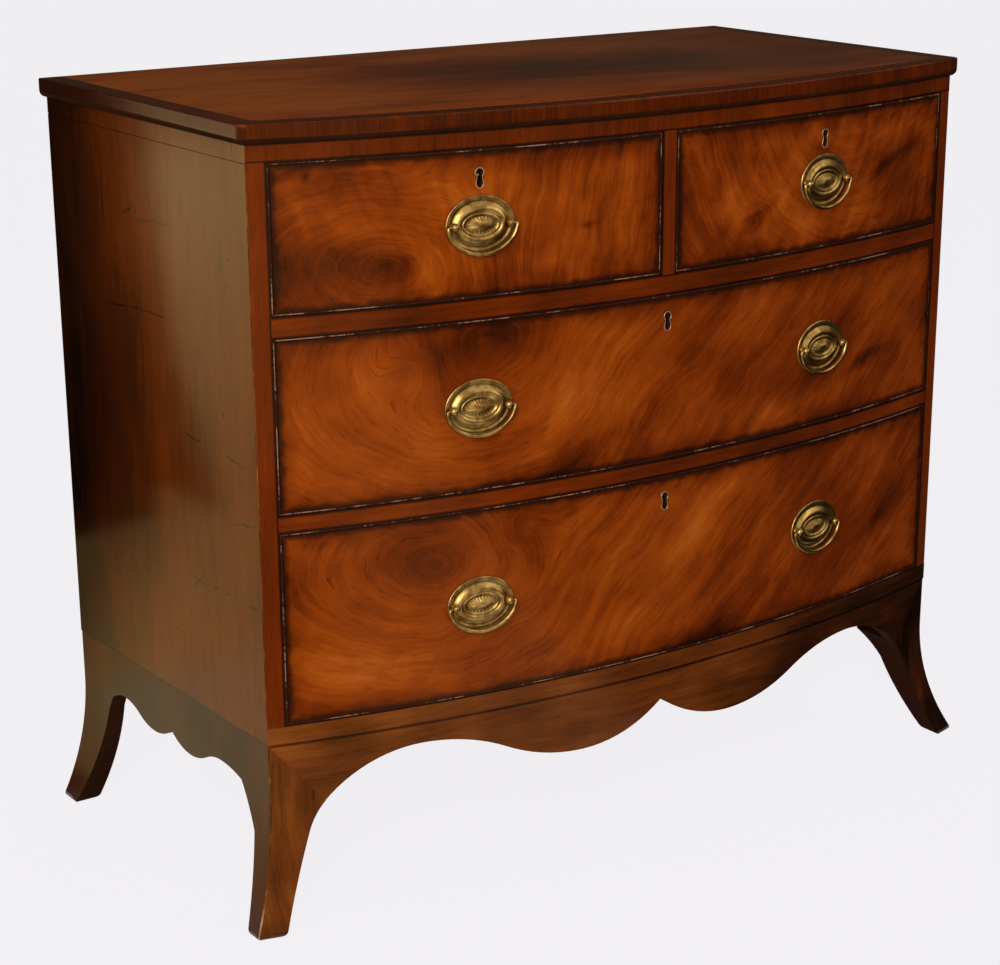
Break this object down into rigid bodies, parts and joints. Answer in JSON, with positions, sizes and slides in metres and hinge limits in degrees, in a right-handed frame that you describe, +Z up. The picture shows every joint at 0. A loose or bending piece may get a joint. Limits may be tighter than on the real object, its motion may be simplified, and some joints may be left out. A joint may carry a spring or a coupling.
{
  "type": "chest of drawers",
  "caption": "Bow-fronted chest with two short drawers over full-width ones, oval brass bail handles, a shaped apron and splayed feet.",
  "frame": {"origin": "on the floor under the middle of the top's outline", "axes": "+X to the right as seen from the front, -Y to the front, +Z up"},
  "size_m": [1.078, 0.5479, 0.8992],
  "materials": {
    "top_veneer": "French polished mahogany veneer, dark oval figure, crossbanded edge",
    "front_veneer": "French polished flame mahogany veneer, dark patina at the edges",
    "side_veneer": "polished mahogany with upright grain",
    "rail_veneer": "polished mahogany",
    "base_veneer": "polished dark mahogany, worn at the corners",
    "bead": "dark stained and polished, worn pale on the nose",
    "drawer_lining": "plain oak, unpolished",
    "carcase": "plain pine, unpolished and darkened",
    "brass": "aged yellow brass with dark hollows",
    "lock_steel": "filed iron, dull"
  },
  "bodies": {
    "case": {"top_board": "top_veneer", "side_left": "side_veneer", "side_right": "side_veneer", "back_boards": "carcase", "case_bottom": "carcase", "dust_boards": "carcase", "top_rail": "rail_veneer", "drawer_rail_upper": "rail_veneer", "drawer_rail_lower": "rail_veneer", "bottom_rail": "rail_veneer", "centre_divider": "rail_veneer", "drawer_runners": "carcase", "drawer_stops": "carcase", "apron_front": "base_veneer", "apron_left": "base_veneer", "apron_right": "base_veneer", "foot_front_left": "base_veneer", "foot_front_right": "base_veneer", "foot_rear_left": "base_veneer", "foot_rear_right": "base_veneer", "glue_blocks": "carcase"},
    "drawer_short_left": {"drawer_short_left_front": "front_veneer", "drawer_short_left_sides": "drawer_lining", "drawer_short_left_back": "drawer_lining", "drawer_short_left_bottom": "drawer_lining", "drawer_short_left_cock_beads": "bead", "drawer_short_left_lock": "brass", "drawer_short_left_handles": "brass"},
    "drawer_short_right": {"drawer_short_right_front": "front_veneer", "drawer_short_right_sides": "drawer_lining", "drawer_short_right_back": "drawer_lining", "drawer_short_right_bottom": "drawer_lining", "drawer_short_right_cock_beads": "bead", "drawer_short_right_lock": "brass", "drawer_short_right_handles": "brass"},
    "drawer_middle": {"drawer_middle_front": "front_veneer", "drawer_middle_sides": "drawer_lining", "drawer_middle_back": "drawer_lining", "drawer_middle_bottom": "drawer_lining", "drawer_middle_cock_beads": "bead", "drawer_middle_lock": "brass", "drawer_middle_handles": "brass"},
    "drawer_bottom": {"drawer_bottom_front": "front_veneer", "drawer_bottom_sides": "drawer_lining", "drawer_bottom_back": "drawer_lining", "drawer_bottom_bottom": "drawer_lining", "drawer_bottom_cock_beads": "bead", "drawer_bottom_lock": "brass", "drawer_bottom_handles": "brass"},
    "bail_short_left": {"bail_short_left": "brass"},
    "bail_short_right": {"bail_short_right": "brass"},
    "bail_middle_left": {"bail_middle_left": "brass"},
    "bail_middle_right": {"bail_middle_right": "brass"},
    "bail_bottom_left": {"bail_bottom_left": "brass"},
    "bail_bottom_right": {"bail_bottom_right": "brass"},
    "lock_bolt_short_left": {"lock_bolt_short_left": "lock_steel"},
    "lock_bolt_short_right": {"lock_bolt_short_right": "lock_steel"},
    "lock_bolt_middle": {"lock_bolt_middle": "lock_steel"},
    "lock_bolt_bottom": {"lock_bolt_bottom": "lock_steel"}
  },
  "joints": [
    {"name": "drawer_short_left_slide", "type": "slide", "parent": "case", "child": "drawer_short_left", "axis": [0, -1, 0], "range_m": [0, 0.36]},
    {"name": "drawer_short_right_slide", "type": "slide", "parent": "case", "child": "drawer_short_right", "axis": [0, -1, 0], "range_m": [0, 0.36]},
    {"name": "drawer_middle_slide", "type": "slide", "parent": "case", "child": "drawer_middle", "axis": [0, -1, 0], "range_m": [0, 0.36]},
    {"name": "drawer_bottom_slide", "type": "slide", "parent": "case", "child": "drawer_bottom", "axis": [0, -1, 0], "range_m": [0, 0.36]},
    {"name": "bail_short_left_swing", "type": "hinge", "parent": "drawer_short_left", "child": "bail_short_left", "pos_m": [-0.24748, -0.25586, 0.77765], "axis": [-0.991, 0.1339, 0], "range_deg": [0, 170]},
    {"name": "bail_short_right_swing", "type": "hinge", "parent": "drawer_short_right", "child": "bail_short_right", "pos_m": [0.24748, -0.25586, 0.77765], "axis": [-0.991, -0.1339, 0], "range_deg": [0, 170]},
    {"name": "bail_middle_left_swing", "type": "hinge", "parent": "drawer_middle", "child": "bail_middle_left", "pos_m": [-0.25099, -0.25538, 0.5767], "axis": [-0.9907, 0.1358, 0], "range_deg": [0, 170]},
    {"name": "bail_middle_right_swing", "type": "hinge", "parent": "drawer_middle", "child": "bail_middle_right", "pos_m": [0.25099, -0.25538, 0.5767], "axis": [-0.9907, -0.1358, 0], "range_deg": [0, 170]},
    {"name": "bail_bottom_left_swing", "type": "hinge", "parent": "drawer_bottom", "child": "bail_bottom_left", "pos_m": [-0.25099, -0.25538, 0.3488], "axis": [-0.9907, 0.1358, 0], "range_deg": [0, 170]},
    {"name": "bail_bottom_right_swing", "type": "hinge", "parent": "drawer_bottom", "child": "bail_bottom_right", "pos_m": [0.25099, -0.25538, 0.3488], "axis": [-0.9907, -0.1358, 0], "range_deg": [0, 170]},
    {"name": "lock_bolt_short_left_throw", "type": "slide", "parent": "drawer_short_left", "child": "lock_bolt_short_left", "axis": [0, 0, 1], "range_m": [0, 0.007]},
    {"name": "lock_bolt_short_right_throw", "type": "slide", "parent": "drawer_short_right", "child": "lock_bolt_short_right", "axis": [0, 0, 1], "range_m": [0, 0.007]},
    {"name": "lock_bolt_middle_throw", "type": "slide", "parent": "drawer_middle", "child": "lock_bolt_middle", "axis": [0, 0, 1], "range_m": [0, 0.007]},
    {"name": "lock_bolt_bottom_throw", "type": "slide", "parent": "drawer_bottom", "child": "lock_bolt_bottom", "axis": [0, 0, 1], "range_m": [0, 0.007]}
  ]
}
